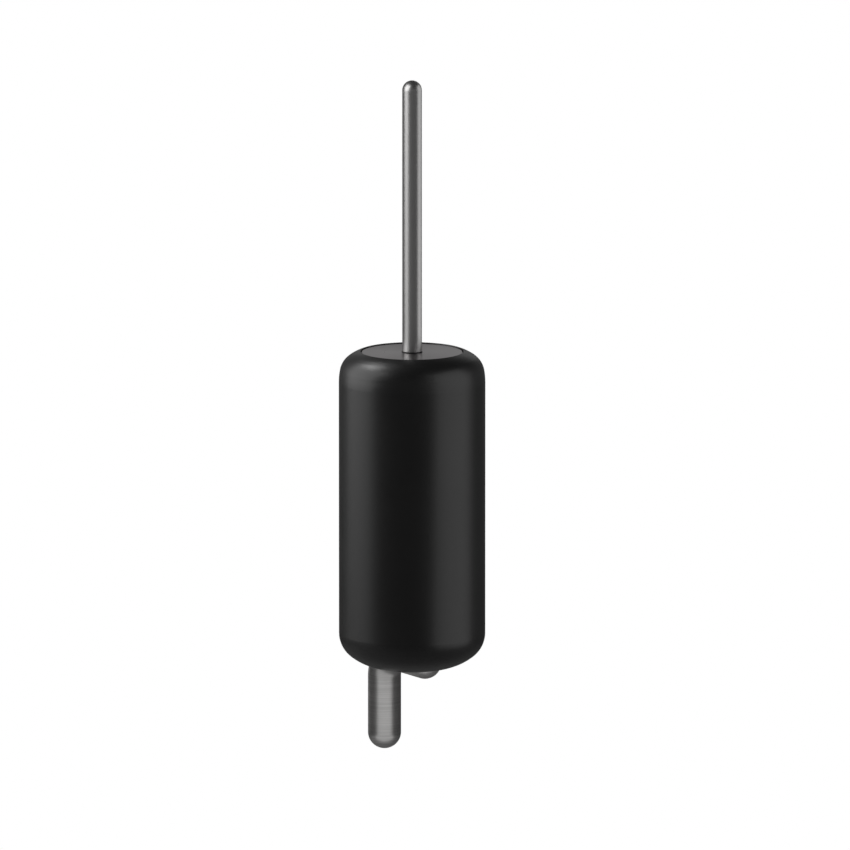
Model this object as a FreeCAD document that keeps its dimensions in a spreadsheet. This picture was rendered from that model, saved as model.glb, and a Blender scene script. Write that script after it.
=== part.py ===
import FreeCAD, Part
import math
import os
import Sketcher
from FreeCAD import Placement, Rotation, Vector

# Wall-hung toilet brush set.
# Frame: millimetres, +Z up, the wall is the plane Y = 0 and the set stands out
# of it towards -Y. The origin is in the back face of the wall plate, halfway
# between its two screw holes. The cup, lid, brush and handle share one
# vertical axis at X = 0, Y = -axis_offset.

doc = FreeCAD.newDocument("ToiletBrushHolder")
sheet = doc.addObject("Spreadsheet::Sheet", "Dims")

DIMS = [
    # placing
    ("axis_offset", 53.5, "wall to the cup's vertical axis"),
    ("arm_drop", 38.0, "wall plate origin down to the bracket arm's axis"),
    # bracket
    ("bar_radius", 11.0, "bent bar, outside"),
    ("bar_wall", 2.0, "bent bar, wall"),
    ("bend_radius", 17.0, "bend, centreline"),
    ("leg_behind", 34.7, "cup axis back to the leg's axis"),
    ("leg_drop", 55.1, "arm axis down to the leg's dome centre"),
    ("arm_reach", 16.0, "cup axis forward to the arm's dome centre"),
    ("cap_spigot_len", 8.0, "dome plugs, length inside the bar"),
    ("cap_spigot_slack", 0.05, "dome plugs, radial slack in the bar"),
    # wall plate and socket
    ("plate_half", 11.0, "wall plate, half width"),
    ("plate_thick", 3.0, "wall plate, thickness"),
    ("plate_rise", 60.0, "wall plate, between its end centres"),
    ("hole_low", 20.0, "lower screw hole above the arm axis"),
    ("hole_gap", 36.0, "screw hole spacing"),
    ("hole_radius", 2.25, "screw hole"),
    ("csk_depth", 2.25, "countersink depth and side"),
    ("plate_edge", 0.6, "wall plate, rounded front edge"),
    ("boss_radius", 6.0, "locating boss"),
    ("boss_len", 6.4, "locating boss, length"),
    ("socket_radius", 8.0, "socket, outside"),
    ("socket_slack", 0.04, "socket on boss, radial slack"),
    ("socket_depth", 8.6, "socket bore, depth"),
    ("socket_len", 28.0, "socket, length before it is coped to the bar"),
    ("grub_radius", 2.0, "locking screw"),
    ("grub_len", 2.9, "locking screw, length"),
    ("grub_from_wall", 5.5, "locking screw, from the wall"),
    # seat on the arm
    ("bush_radius", 6.0, "welded bush in the arm"),
    ("bush_flange", 9.0, "welded bush, flange"),
    ("bush_thread", 3.0, "welded bush, M6 thread"),
    ("bush_len", 9.5, "welded bush, length"),
    ("pad_thick", 0.8, "rubber pad under the cup"),
    ("screw_hole", 3.3, "clearance for the M6 screw"),
    ("washer_radius", 8.5, "washer"),
    ("washer_thick", 1.2, "washer, thickness"),
    ("head_radius", 5.25, "M6 screw head"),
    ("head_height", 3.2, "M6 screw head, height"),
    ("shank_radius", 2.95, "M6 shank"),
    ("shank_len", 12.0, "M6 shank, length"),
    # cup shell
    ("cup_radius", 48.5, "cup, outside"),
    ("arm_above_base", 5.6, "arm axis above the cup's lowest plane"),
    ("cup_height", 211.9, "cup's lowest plane to the lid's top"),
    ("lip_rise", 0.8, "cup's mouth edge above the lid's top"),
    ("base_rise", 23.2, "bottom rounding, height"),
    ("base_reach", 31.5, "bottom rounding, width"),
    ("base_angle", 52.0, "bottom rounding, angle of its tighter arc"),
    ("top_radius_a", 44.3, "shoulder, first arc"),
    ("top_angle_a", 10.4, "shoulder, end of the first arc"),
    ("top_radius_b", 14.07, "shoulder, middle arc"),
    ("top_angle_b", 53.2, "shoulder, end of the middle arc"),
    ("top_radius_c", 26.6, "shoulder, last arc"),
    ("shell_wall", 3.0, "cup wall"),
    ("mouth_radius", 33.9, "cup's mouth"),
    ("mouth_round", 0.45, "cup's mouth, rounded edge"),
    ("ledge_radius", 31.8, "opening inside the ledge"),
    ("ledge_thick", 3.0, "ledge, thickness"),
    ("groove_half", 12.0, "underside groove, half width"),
    ("groove_roof", 17.6, "underside groove, height above the lowest plane"),
    ("groove_round", 1.2, "underside groove, rounded edge"),
    # liner
    ("ring_thick", 0.8, "seat ring under the liner's flange"),
    ("flange_radius", 33.5, "liner flange"),
    ("flange_thick", 2.0, "liner flange, thickness"),
    ("liner_radius", 31.2, "liner, outside"),
    ("liner_wall", 1.8, "liner wall"),
    ("liner_floor", 2.0, "liner floor"),
    ("liner_lift", 31.0, "liner's underside above the cup's lowest plane"),
    ("liner_corner", 7.0, "liner, outside corner"),
    # lid
    ("lid_radius", 33.4, "lid disc"),
    ("lid_thick", 3.0, "lid disc, thickness"),
    ("lid_edge", 0.35, "lid disc, rounded edge"),
    ("lid_bore", 6.0, "lid disc, centre hole"),
    ("gasket_thick", 1.0, "lid gasket"),
    ("gasket_inner", 29.6, "lid gasket, inside"),
    ("gasket_outer", 32.8, "lid gasket, outside"),
    ("bush_bore", 4.05, "lid bush, bore"),
    ("bush_lip_radius", 6.95, "lid bush, lip"),
    ("bush_lip_thick", 0.4, "lid bush, lip thickness"),
    ("bush_below", 1.6, "lid bush, below the lid"),
    ("clip_radius", 8.6, "push-on retaining ring"),
    ("clip_thick", 1.0, "push-on retaining ring, thickness"),
    # handle
    ("handle_radius", 6.5, "handle"),
    ("handle_wall", 1.0, "handle wall"),
    ("handle_top", 181.7, "lid's top to the top of the handle"),
    ("handle_gap", 0.5, "foot of the handle above the lid's top"),
    ("plug_len", 22.0, "handle plug, length in the tube"),
    ("spigot_radius", 4.0, "handle plug, spigot through the bush"),
    ("spigot_len", 5.4, "handle plug, spigot length"),
    ("stud_radius", 2.5, "M5 stud"),
    ("stud_slack", 0.02, "M5 stud, radial slack"),
    ("stud_up", 18.0, "M5 stud, above the stop washer's underside"),
    ("stud_down", 14.0, "M5 stud, below the stop washer's underside"),
    ("stop_radius", 7.2, "stop washer"),
    ("stop_thick", 1.2, "stop washer, thickness"),
    # brush
    ("shaft_radius", 5.0, "lower shaft"),
    ("shaft_neck", 4.0, "lower shaft, screwed end"),
    ("shaft_neck_len", 16.0, "lower shaft, screwed end length"),
    ("core_radius", 8.0, "brush core"),
    ("core_collar", 7.0, "brush core, collar at its top"),
    ("core_bottom", 10.0, "brush core, above the liner floor"),
    ("core_len", 86.0, "brush core, length"),
    ("core_taper", 12.0, "brush core, taper below the collar"),
    ("core_collar_len", 8.0, "brush core, collar length"),
    ("bristle_radius", 27.8, "bristle drum"),
    ("bristle_from", 6.0, "bristle drum, above the foot of the core"),
    ("bristle_len", 60.0, "bristle drum, length"),
    ("bristle_round", 4.0, "bristle drum, rounded rim"),
    ("crown_radius", 19.0, "end tuft"),
    ("crown_depth", 6.0, "end tuft, below the core"),
    ("crown_up", 4.0, "end tuft, above the foot of the core"),
]

sheet.set("A1", "what")
sheet.set("B1", "value")
for row, (alias, value, words) in enumerate(DIMS, start=2):
    sheet.set("A%d" % row, words)
    sheet.set("B%d" % row, repr(float(value)))
    sheet.setAlias("B%d" % row, alias)
doc.recompute()
VALUES = {alias: float(sheet.get(alias)) for alias, _, _ in DIMS}


class Dim:
    """A size that is a number here and an expression of the sheet in the document."""

    def __init__(self, value, text):
        self.value, self.text = float(value), text

    def __add__(self, other):
        other = dim(other)
        return Dim(self.value + other.value, "(%s + %s)" % (self.text, other.text))

    def __sub__(self, other):
        other = dim(other)
        return Dim(self.value - other.value, "(%s - %s)" % (self.text, other.text))

    def __mul__(self, other):
        other = dim(other)
        return Dim(self.value * other.value, "(%s * %s)" % (self.text, other.text))

    def __rmul__(self, other):
        return dim(other) * self

    def __neg__(self):
        return Dim(-self.value, "(0 - %s)" % self.text)


def dim(x):
    return x if isinstance(x, Dim) else Dim(x, repr(float(x)))


def D(alias):
    return Dim(VALUES[alias], "Dims." + alias)


def cosd(a):
    return Dim(math.cos(math.radians(a.value)), "cos(%s * 1 deg)" % a.text)


def sind(a):
    return Dim(math.sin(math.radians(a.value)), "sin(%s * 1 deg)" % a.text)


def bind(obj, path, size):
    size = dim(size)
    obj.setExpression(path, size.text)


def place(obj, x=0, y=0, z=0, rotation=None):
    x, y, z = dim(x), dim(y), dim(z)
    obj.Placement = Placement(Vector(x.value, y.value, z.value), rotation or Rotation())
    for axis, size in (("x", x), ("y", y), ("z", z)):
        if "Dims" in size.text:
            bind(obj, "Placement.Base." + axis, size)


# heights and places used by several pieces
ARM_Z = -D("arm_drop")
BASE_Z = ARM_Z - D("arm_above_base")
LID_Z = BASE_Z + D("cup_height")
AXIS_Y = -D("axis_offset")
LEG_Y = AXIS_Y + D("leg_behind")
BEND_Y = LEG_Y - D("bend_radius")
BEND_Z = ARM_Z - D("bend_radius")
LEG_Z = ARM_Z - D("leg_drop")
ARM_Y = AXIS_Y - D("arm_reach")
MOUTH_Z = LID_Z + D("lip_rise")
LEDGE_Z = LID_Z - D("lid_thick") - D("gasket_thick") - D("flange_thick") - D("ring_thick")
ROOF_Z = BASE_Z + D("groove_roof")
FLOOR_Z = ROOF_Z + D("shell_wall")

TOWARDS_ROOM = Rotation(Vector(1, 0, 0), 90)  # turns +Z to -Y
QUARTER_BEND = Rotation(Vector(1, 1, 1), 120)  # X to Y, Y to Z, Z to X


def origin_plane(body, role):
    return [f for f in body.Origin.OriginFeatures if f.Role == role][0]


def body_sketch(body, name, role):
    sketch = body.newObject("Sketcher::SketchObject", name)
    sketch.AttachmentSupport = [(origin_plane(body, role), "")]
    sketch.MapMode = "FlatFace"
    return sketch


def outline(sketch, points, arcs=None):
    """Closed outline through points (x, y as Dims). arcs maps an edge's index to
    (radius, side): the arc's centre lies left (+1) or right (-1) of the edge."""
    arcs = arcs or {}
    pts = [(dim(x), dim(y)) for x, y in points]
    n = len(pts)
    ends = []  # for each edge, the sketcher positions of its first and last point
    for i in range(n):
        a = Vector(pts[i][0].value, pts[i][1].value, 0)
        b = Vector(pts[(i + 1) % n][0].value, pts[(i + 1) % n][1].value, 0)
        if i in arcs:
            radius, side = arcs[i]
            r = dim(radius).value
            half = (b - a).Length / 2
            off = math.sqrt(max(r * r - half * half, 0.0))
            along = (b - a).normalize()
            left = Vector(-along.y, along.x, 0)
            c = (a + b) * 0.5 + left * (off * side)
            t0 = math.atan2(a.y - c.y, a.x - c.x)
            t1 = math.atan2(b.y - c.y, b.x - c.x)
            circle = Part.Circle(c, Vector(0, 0, 1), r)
            if side > 0:
                sketch.addGeometry(Part.ArcOfCircle(circle, t0, t1), False)
                ends.append((1, 2))
            else:
                sketch.addGeometry(Part.ArcOfCircle(circle, t1, t0), False)
                ends.append((2, 1))
        else:
            sketch.addGeometry(Part.LineSegment(a, b), False)
            ends.append((1, 2))
    for i in range(n):
        j = (i + 1) % n
        sketch.addConstraint(Sketcher.Constraint("Coincident", i, ends[i][1], j, ends[j][0]))
    for i in range(n):
        for kind, axis, size in (("DistanceX", -2, pts[i][0]), ("DistanceY", -1, pts[i][1])):
            if size.value == 0:
                sketch.addConstraint(Sketcher.Constraint("PointOnObject", i, ends[i][0], axis))
            else:
                k = sketch.addConstraint(
                    Sketcher.Constraint(kind, -1, 1, i, ends[i][0], size.value)
                )
                if "Dims" in size.text:
                    sketch.setExpression("Constraints[%d]" % k, size.text)
        if i in arcs:
            radius = dim(arcs[i][0])
            k = sketch.addConstraint(Sketcher.Constraint("Radius", i, radius.value))
            if "Dims" in radius.text:
                sketch.setExpression("Constraints[%d]" % k, radius.text)
    return sketch


def turned(name, points, arcs=None, x=0, y=None, z=0, rotation=None):
    """A body turned about its own Z axis from a half profile (radius, height)."""
    body = doc.addObject("PartDesign::Body", name)
    sketch = outline(body_sketch(body, name + "_profile", "XZ_Plane"), points, arcs)
    turn = body.newObject("PartDesign::Revolution", name + "_turned")
    turn.Profile = sketch
    turn.ReferenceAxis = (sketch, ["V_Axis"])
    turn.Angle = 360
    place(body, x, AXIS_Y if y is None else y, z, rotation)
    return body


def ring(name, inner, outer, height, z, y=None, rotation=None):
    """A plain ring or washer."""
    return turned(
        name,
        [(inner, 0), (outer, 0), (outer, height), (inner, height)],
        y=y,
        z=z,
        rotation=rotation,
    )


def rod(name, radius, height, x=0, y=None, z=0, rotation=None):
    obj = doc.addObject("Part::Cylinder", name)
    bind(obj, "Radius", radius)
    bind(obj, "Height", height)
    place(obj, x, AXIS_Y if y is None else y, z, rotation)
    return obj


def block(name, width, depth, height, x, y, z):
    obj = doc.addObject("Part::Box", name)
    bind(obj, "Length", width)
    bind(obj, "Width", depth)
    bind(obj, "Height", height)
    place(obj, x, y, z)
    return obj


def joined(name, *shapes):
    obj = doc.addObject("Part::MultiFuse", name)
    obj.Shapes = list(shapes)
    obj.Refine = True
    return obj


def cut(name, base, tool):
    obj = doc.addObject("Part::Cut", name)
    obj.Base, obj.Tool = base, tool
    obj.Refine = True
    return obj


def rounded(name, base, chosen, radius):
    """Part::Fillet on the edges that chosen() picks from the recomputed base."""
    doc.recompute()
    obj = doc.addObject("Part::Fillet", name)
    obj.Base = base
    obj.Edges = [
        (i, radius.value, radius.value)
        for i, e in enumerate(base.Shape.Edges, start=1)
        if chosen(e)
    ]
    return obj


def circle_at(edge, radius, z, y=None):
    curve = edge.Curve
    if not isinstance(curve, Part.Circle):
        return False
    good = abs(curve.Radius - radius) < 1e-4 and abs(curve.Center.z - z) < 1e-3
    return good and (y is None or abs(curve.Center.y - y) < 1e-3)


parts = {}

# ---------------------------------------------------------------- the bracket
# A round tube bent once: a leg hangs down, the arm runs forward under the cup.


def bent_bar(name, radius):
    leg = rod(name + "_leg", radius, D("leg_drop") - D("bend_radius"), y=LEG_Y, z=LEG_Z)
    arm = rod(
        name + "_arm",
        radius,
        BEND_Y - ARM_Y,
        y=BEND_Y,
        z=ARM_Z,
        rotation=TOWARDS_ROOM,
    )
    bend = doc.addObject("Part::Torus", name + "_bend")
    bind(bend, "Radius1", D("bend_radius"))
    bind(bend, "Radius2", radius)
    bend.Angle1, bend.Angle2, bend.Angle3 = -180, 180, 90
    place(bend, 0, BEND_Y, BEND_Z, QUARTER_BEND)
    return joined(name, leg, bend, arm)


bar_outside = bent_bar("bar_outside", D("bar_radius"))
bar_inside = bent_bar("bar_inside", D("bar_radius") - D("bar_wall"))
bar_tube = cut("bar_tube", bar_outside, bar_inside)
bush_hole = rod("bush_hole", D("bush_radius"), D("bar_radius") + 5, z=ARM_Z)
parts["bracket_bar"] = cut("bracket_bar", bar_tube, bush_hole)


def dome(name, radius, spigot, spigot_len, **where):
    """A solid half ball with a spigot that plugs the tube below it."""
    body = turned(
        name,
        [
            (0, -spigot_len),
            (spigot - 0.6, -spigot_len),
            (spigot, -spigot_len + 0.6),
            (spigot, 0),
            (radius, 0),
            (0, radius),
        ],
        {4: (radius, 1)},
        **where,
    )
    return body


PLUG = D("bar_radius") - D("bar_wall") - D("cap_spigot_slack")
parts["leg_end_cap"] = dome(
    "leg_end_cap",
    D("bar_radius"),
    PLUG,
    D("cap_spigot_len"),
    y=LEG_Y,
    z=LEG_Z,
    rotation=Rotation(Vector(1, 0, 0), 180),
)
parts["arm_end_cap"] = dome(
    "arm_end_cap",
    D("bar_radius"),
    PLUG,
    D("cap_spigot_len"),
    y=ARM_Y,
    z=ARM_Z,
    rotation=TOWARDS_ROOM,
)

# The short socket welded to the back of the bend slides over the wall plate's
# boss and is locked from below by a grub screw.
socket_blank = rod(
    "socket_blank",
    D("socket_radius"),
    D("socket_len"),
    y=-D("plate_thick"),
    z=ARM_Z,
    rotation=TOWARDS_ROOM,
)
socket_bore = rod(
    "socket_bore",
    D("boss_radius") + D("socket_slack"),
    D("socket_depth") + 1,
    y=-D("plate_thick") + 1,
    z=ARM_Z,
    rotation=TOWARDS_ROOM,
)
grub_hole = rod(
    "grub_hole",
    D("grub_radius") + 0.03,
    D("socket_radius"),
    y=-D("grub_from_wall"),
    z=ARM_Z - D("socket_radius") - 1,
)
socket_cuts = joined("socket_cuts", socket_bore, grub_hole)
socket_coped = cut("socket_coped", socket_blank, bent_bar("bar_cope", D("bar_radius")))
parts["wall_socket"] = cut("wall_socket", socket_coped, socket_cuts)

grub_blank = turned(
    "grub_blank",
    [
        (0, 0),
        (D("grub_radius") - 0.3, 0),
        (D("grub_radius"), 0.3),
        (D("grub_radius"), D("grub_len") - 0.8),
        (D("grub_radius") - 0.8, D("grub_len")),
        (0, D("grub_len")),
    ],
    y=-D("grub_from_wall"),
    z=ARM_Z - D("socket_radius") + 0.1,
)
grub_hex = doc.addObject("Part::Prism", "grub_hex")
grub_hex.Polygon = 6
grub_hex.Circumradius = 1.15
grub_hex.Height = 2.4
place(grub_hex, 0, -D("grub_from_wall"), ARM_Z - D("socket_radius") + 0.1 - 1)
parts["socket_grub_screw"] = cut("socket_grub_screw", grub_blank, grub_hex)

# ------------------------------------------------------------- the wall plate
plate = doc.addObject("PartDesign::Body", "plate_body")
plate_sketch = outline(
    body_sketch(plate, "plate_outline", "XZ_Plane"),
    [
        (-D("plate_half"), ARM_Z),
        (D("plate_half"), ARM_Z),
        (D("plate_half"), ARM_Z + D("plate_rise")),
        (-D("plate_half"), ARM_Z + D("plate_rise")),
    ],
    {0: (D("plate_half") + 0.0001, 1), 2: (D("plate_half") + 0.0001, 1)},
)
plate_pad = plate.newObject("PartDesign::Pad", "plate_pad")
plate_pad.Profile = plate_sketch
bind(plate_pad, "Length", D("plate_thick"))
doc.recompute()

boss_sketch = body_sketch(plate, "boss_outline", "XZ_Plane")
boss_sketch.addGeometry(
    Part.Circle(Vector(0, ARM_Z.value, 0), Vector(0, 0, 1), VALUES["boss_radius"]), False
)
boss_sketch.addConstraint(Sketcher.Constraint("PointOnObject", 0, 3, -2))
k = boss_sketch.addConstraint(Sketcher.Constraint("DistanceY", -1, 1, 0, 3, ARM_Z.value))
boss_sketch.setExpression("Constraints[%d]" % k, ARM_Z.text)
k = boss_sketch.addConstraint(Sketcher.Constraint("Radius", 0, VALUES["boss_radius"]))
boss_sketch.setExpression("Constraints[%d]" % k, "Dims.boss_radius")
boss_pad = plate.newObject("PartDesign::Pad", "boss_pad")
boss_pad.Profile = boss_sketch
bind(boss_pad, "Length", D("plate_thick") + D("boss_len"))
doc.recompute()

holes_sketch = body_sketch(plate, "screw_holes", "XZ_Plane")
for i, height in enumerate((ARM_Z + D("hole_low"), ARM_Z + D("hole_low") + D("hole_gap"))):
    holes_sketch.addGeometry(
        Part.Circle(Vector(0, height.value, 0), Vector(0, 0, 1), VALUES["hole_radius"]), False
    )
    holes_sketch.addConstraint(Sketcher.Constraint("PointOnObject", i, 3, -2))
    k = holes_sketch.addConstraint(Sketcher.Constraint("DistanceY", -1, 1, i, 3, height.value))
    holes_sketch.setExpression("Constraints[%d]" % k, height.text)
    k = holes_sketch.addConstraint(Sketcher.Constraint("Radius", i, VALUES["hole_radius"]))
    holes_sketch.setExpression("Constraints[%d]" % k, "Dims.hole_radius")
holes = plate.newObject("PartDesign::Pocket", "screw_hole_pocket")
holes.Profile = holes_sketch
holes.Type = 1  # through all
holes.Midplane = True
doc.recompute()


def edge_names(shape, chosen):
    return ["Edge%d" % i for i, e in enumerate(shape.Edges, start=1) if chosen(e)]


sinks = plate.newObject("PartDesign::Chamfer", "countersinks")
sinks.Base = (
    holes,
    edge_names(
        holes.Shape,
        lambda e: isinstance(e.Curve, Part.Circle)
        and abs(e.Curve.Radius - VALUES["hole_radius"]) < 1e-4
        and abs(e.Curve.Center.y + VALUES["plate_thick"]) < 1e-3,
    ),
)
bind(sinks, "Size", D("csk_depth"))
doc.recompute()

softened = plate.newObject("PartDesign::Fillet", "plate_front_edge")
softened.Base = (
    sinks,
    edge_names(
        sinks.Shape,
        lambda e: all(abs(v.Y + VALUES["plate_thick"]) < 1e-3 for v in e.Vertexes)
        and abs(e.BoundBox.YLength) < 1e-3
        and (
            (
                isinstance(e.Curve, Part.Circle)
                and abs(e.Curve.Radius - VALUES["plate_half"]) < 1e-2
            )
            or (
                not isinstance(e.Curve, Part.Circle)
                and abs(abs(e.BoundBox.XMin) - VALUES["plate_half"]) < 1e-3
            )
        ),
    ),
)
bind(softened, "Radius", D("plate_edge"))
plate.Tip = softened
doc.recompute()
grub_seat = rod(
    "grub_seat",
    D("grub_radius") + 0.1,
    D("socket_radius") - D("boss_radius") + 1.0,
    y=-D("grub_from_wall"),
    z=ARM_Z - D("socket_radius"),
)
parts["wall_plate"] = cut("wall_plate", plate, grub_seat)

# ------------------------------------------------------- the seat on the arm
bush_blank = joined(
    "bush_blank",
    rod("bush_flange_blank", D("bush_flange"), 6.0, z=ARM_Z + D("bar_radius") - 5.8),
    rod("bush_stem_blank", D("bush_radius"), 4.0, z=ARM_Z + D("bar_radius") - 4.0),
)
bush_stem = rod(
    "bush_stem",
    D("bush_radius"),
    D("bush_len"),
    z=ARM_Z + D("bar_radius") + 0.2 - D("bush_len"),
)
bush_saddled = cut("bush_saddled", bush_blank, bent_bar("bar_saddle", D("bar_radius")))
bush_solid = joined("bush_solid", bush_saddled, bush_stem)
bush_tapped = rod("bush_tapped", D("bush_thread"), 30.0, z=ARM_Z - 5)
parts["seat_bush"] = cut("seat_bush", bush_solid, bush_tapped)
parts["seat_pad"] = ring(
    "seat_pad",
    D("screw_hole"),
    D("bush_flange"),
    D("pad_thick"),
    ROOF_Z - D("pad_thick"),
)

# ----------------------------------------------------------------- cup shell
R = D("cup_radius")


def shell_form(name, wall, top_radius, bottom, top):
    """Half profile of the cup, wall mm inside its outer surface."""
    ra, rb, rc = (D("top_radius_" + c) - wall for c in "abc")
    aa, ab = D("top_angle_a"), D("top_angle_b")
    # shoulder arc centres, from the ring level up
    cax = R - D("top_radius_a")
    cbx = cax + (D("top_radius_a") - D("top_radius_b")) * cosd(aa)
    cbz = (D("top_radius_a") - D("top_radius_b")) * sind(aa)
    ccx = cbx + (D("top_radius_b") - D("top_radius_c")) * cosd(ab)
    ccz = cbz + (D("top_radius_b") - D("top_radius_c")) * sind(ab)
    # the mouth edge lies on the last arc at mouth_radius
    run = (D("mouth_radius").value - ccx.value) / D("top_radius_c").value
    rise = Dim(
        math.sqrt(1 - run * run) * D("top_radius_c").value + ccz.value,
        "(sqrt(%s ^ 2 - (%s - %s) ^ 2) + %s)"
        % (D("top_radius_c").text, D("mouth_radius").text, ccx.text, ccz.text),
    )
    ring_z = D("cup_height") + D("lip_rise") - rise
    p_side_top = (R - wall, ring_z)
    p_a = (cax + ra * cosd(aa), ring_z + ra * sind(aa))
    p_b = (cbx + rb * cosd(ab), ring_z + cbz + rb * sind(ab))
    reach = Dim(
        math.sqrt(rc.value**2 - (top_radius.value - ccx.value) ** 2),
        "sqrt(%s ^ 2 - (%s - %s) ^ 2)" % (rc.text, top_radius.text, ccx.text),
    )
    p_c = (top_radius, ring_z + ccz + reach)
    # bottom rounding, two tangent arcs
    th = D("base_angle")
    spread = Dim(
        (VALUES["base_reach"] - VALUES["base_rise"])
        / (cosd(th).value + sind(th).value - 1),
        "((Dims.base_reach - Dims.base_rise) / (%s + %s - 1))" % (cosd(th).text, sind(th).text),
    )
    r_low = D("base_reach") - spread * cosd(th)
    r_flat = r_low + spread
    p_side_low = (R - wall, D("base_rise"))
    p_d = (R - r_low + (r_low - wall) * cosd(th), D("base_rise") - (r_low - wall) * sind(th))
    p_e = (R - D("base_reach"), dim(wall) if not isinstance(wall, Dim) else wall)
    points = [(0, wall), p_e, p_d, p_side_low, p_side_top, p_a, p_b, p_c]
    arcs = {
        1: (r_flat - wall, 1),
        2: (r_low - wall, 1),
        4: (ra, 1),
        5: (rb, 1),
        6: (rc, 1),
    }
    points += top(p_c)
    return turned(name, points, arcs, z=BASE_Z)


shell_outer = shell_form(
    "shell_outer_form", dim(0.0), D("mouth_radius"), None, lambda p: [(0, p[1])]
)
neck = D("mouth_radius") + D("shell_wall")
neck_low = LEDGE_Z - D("ledge_thick") - BASE_Z
shell_cavity = shell_form(
    "shell_cavity_form",
    D("shell_wall"),
    neck,
    None,
    lambda p: [(neck, neck_low), (0, neck_low)],
)
tunnel = joined(
    "tunnel_block",
    block(
        "tunnel_run",
        2 * (D("groove_half") + D("shell_wall")),
        D("arm_reach") + D("cup_radius"),
        D("groove_roof") + D("shell_wall"),
        -(D("groove_half") + D("shell_wall")),
        ARM_Y,
        BASE_Z,
    ),
    rod(
        "tunnel_nose",
        D("groove_half") + D("shell_wall"),
        D("groove_roof") + D("shell_wall"),
        y=ARM_Y,
        z=BASE_Z,
    ),
)
cavity_cut = cut("cavity_cut", shell_cavity, tunnel)
groove = joined(
    "groove_cut",
    block(
        "groove_run",
        2 * D("groove_half"),
        D("arm_reach") + D("axis_offset"),
        D("groove_roof") + 10,
        -D("groove_half"),
        ARM_Y,
        BASE_Z - 10,
    ),
    rod("groove_nose", D("groove_half"), D("groove_roof") + 10, y=ARM_Y, z=BASE_Z - 10),
)
mouth = joined(
    "mouth_cut",
    rod("mouth_bore", D("mouth_radius"), 20, z=LEDGE_Z),
    rod("ledge_bore", D("ledge_radius"), 20, z=LEDGE_Z - D("ledge_thick") - 1),
)
seat_hole = rod("seat_hole", D("screw_hole"), 20, z=ROOF_Z - 10)
shell_hollow = cut("shell_hollow", shell_outer, cavity_cut)
shell_open = cut("shell_open", shell_hollow, mouth)
shell_grooved = cut("shell_grooved", shell_open, groove)
shell_drilled = cut("shell_drilled", shell_grooved, seat_hole)

mouth_z = MOUTH_Z.value
shell_lipped = rounded(
    "shell_lipped",
    shell_drilled,
    lambda e: circle_at(e, VALUES["mouth_radius"], mouth_z),
    D("mouth_round"),
)
parts["cup_shell"] = shell_lipped

parts["base_washer"] = ring(
    "base_washer", D("screw_hole"), D("washer_radius"), D("washer_thick"), FLOOR_Z
)
screw_blank = turned(
    "screw_blank",
    [
        (0, -D("shank_len")),
        (D("shank_radius") - 0.6, -D("shank_len")),
        (D("shank_radius"), -D("shank_len") + 0.6),
        (D("shank_radius"), 0),
        (D("head_radius"), 0),
        (D("head_radius"), D("head_height") - 1.2),
        (D("head_radius") - 1.6, D("head_height")),
        (0, D("head_height")),
    ],
    {5: (2.0, 1)},
    z=FLOOR_Z + D("washer_thick"),
)
screw_hex = doc.addObject("Part::Prism", "screw_hex")
screw_hex.Polygon = 6
screw_hex.Circumradius = 2.31
screw_hex.Height = 4
place(screw_hex, 0, AXIS_Y, FLOOR_Z + D("washer_thick") + D("head_height") - 2.2)
parts["base_screw"] = cut("base_screw", screw_blank, screw_hex)

# --------------------------------------------------------------------- liner
LINER_Z = BASE_Z + D("liner_lift")
FLANGE_Z = LEDGE_Z + D("ring_thick")
parts["liner_seat_ring"] = ring(
    "liner_seat_ring",
    D("liner_radius") + 0.1,
    D("flange_radius") - 0.3,
    D("ring_thick"),
    LEDGE_Z,
)
liner_h = FLANGE_Z - LINER_Z
LR, LW, LC = D("liner_radius"), D("liner_wall"), D("liner_corner")
parts["liner_cup"] = turned(
    "liner_cup",
    [
        (0, 0),
        (LR - LC, 0),
        (LR, LC),
        (LR, liner_h),
        (D("flange_radius") - 0.5, liner_h),
        (D("flange_radius"), liner_h + 0.5),
        (D("flange_radius"), liner_h + D("flange_thick") - 0.5),
        (D("flange_radius") - 0.5, liner_h + D("flange_thick")),
        (LR - LW + 0.8, liner_h + D("flange_thick")),
        (LR - LW, liner_h + D("flange_thick") - 0.8),
        (LR - LW, LC),
        (LR - LC, D("liner_floor")),
        (0, D("liner_floor")),
    ],
    {1: (LC, 1), 10: (LC - LW + 0.0204, -1)},
    z=LINER_Z,
)

# ----------------------------------------------------------------------- lid
ED = D("lid_edge")
parts["lid_disc"] = turned(
    "lid_disc",
    [
        (D("lid_bore"), 0),
        (D("lid_radius") - ED, 0),
        (D("lid_radius"), ED),
        (D("lid_radius"), D("lid_thick") - ED),
        (D("lid_radius") - ED, D("lid_thick")),
        (D("lid_bore"), D("lid_thick")),
    ],
    {1: (ED, 1), 3: (ED, 1)},
    z=LID_Z - D("lid_thick"),
)
parts["lid_gasket"] = ring(
    "lid_gasket",
    D("gasket_inner"),
    D("gasket_outer"),
    D("gasket_thick"),
    LID_Z - D("lid_thick") - D("gasket_thick"),
)
parts["lid_bush"] = turned(
    "lid_bush",
    [
        (D("bush_bore"), 0),
        (D("lid_bore") - 0.4, 0),
        (D("lid_bore"), 0.4),
        (D("lid_bore"), D("bush_below") + D("lid_thick")),
        (D("bush_lip_radius"), D("bush_below") + D("lid_thick")),
        (D("bush_lip_radius"), D("bush_below") + D("lid_thick") + D("bush_lip_thick")),
        (D("bush_bore"), D("bush_below") + D("lid_thick") + D("bush_lip_thick")),
    ],
    z=LID_Z - D("lid_thick") - D("bush_below"),
)
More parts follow.
